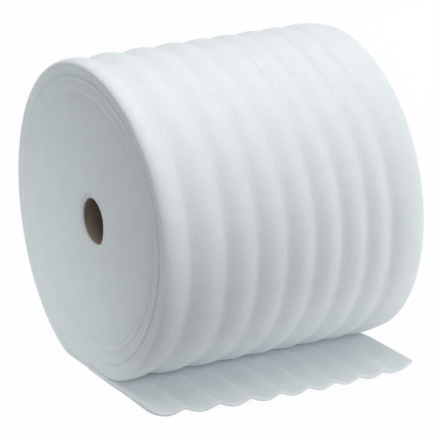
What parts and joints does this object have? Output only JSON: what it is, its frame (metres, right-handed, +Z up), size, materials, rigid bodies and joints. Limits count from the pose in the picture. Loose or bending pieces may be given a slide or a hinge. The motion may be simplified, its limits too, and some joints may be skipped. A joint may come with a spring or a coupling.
{
  "type": "foam wrap roll",
  "caption": "Roll of ridged white polyethylene foam wrap on a cardboard core, lying on its side with the loose end of the web flat in front of it.",
  "frame": {"origin": "on the floor under the core's axis, half way along the width of the outermost turn", "axes": "+X along the core from the near end to the far end, +Z up, the loose tail lies towards -Y"},
  "size_m": [0.3128, 0.342, 0.3353],
  "materials": {
    "foam": "soft closed-cell foam, matt",
    "core_board": "plain spiral-wound board"
  },
  "bodies": {
    "root": {"foam_wrap": "foam", "core_tube": "core_board"}
  },
  "joints": []
}
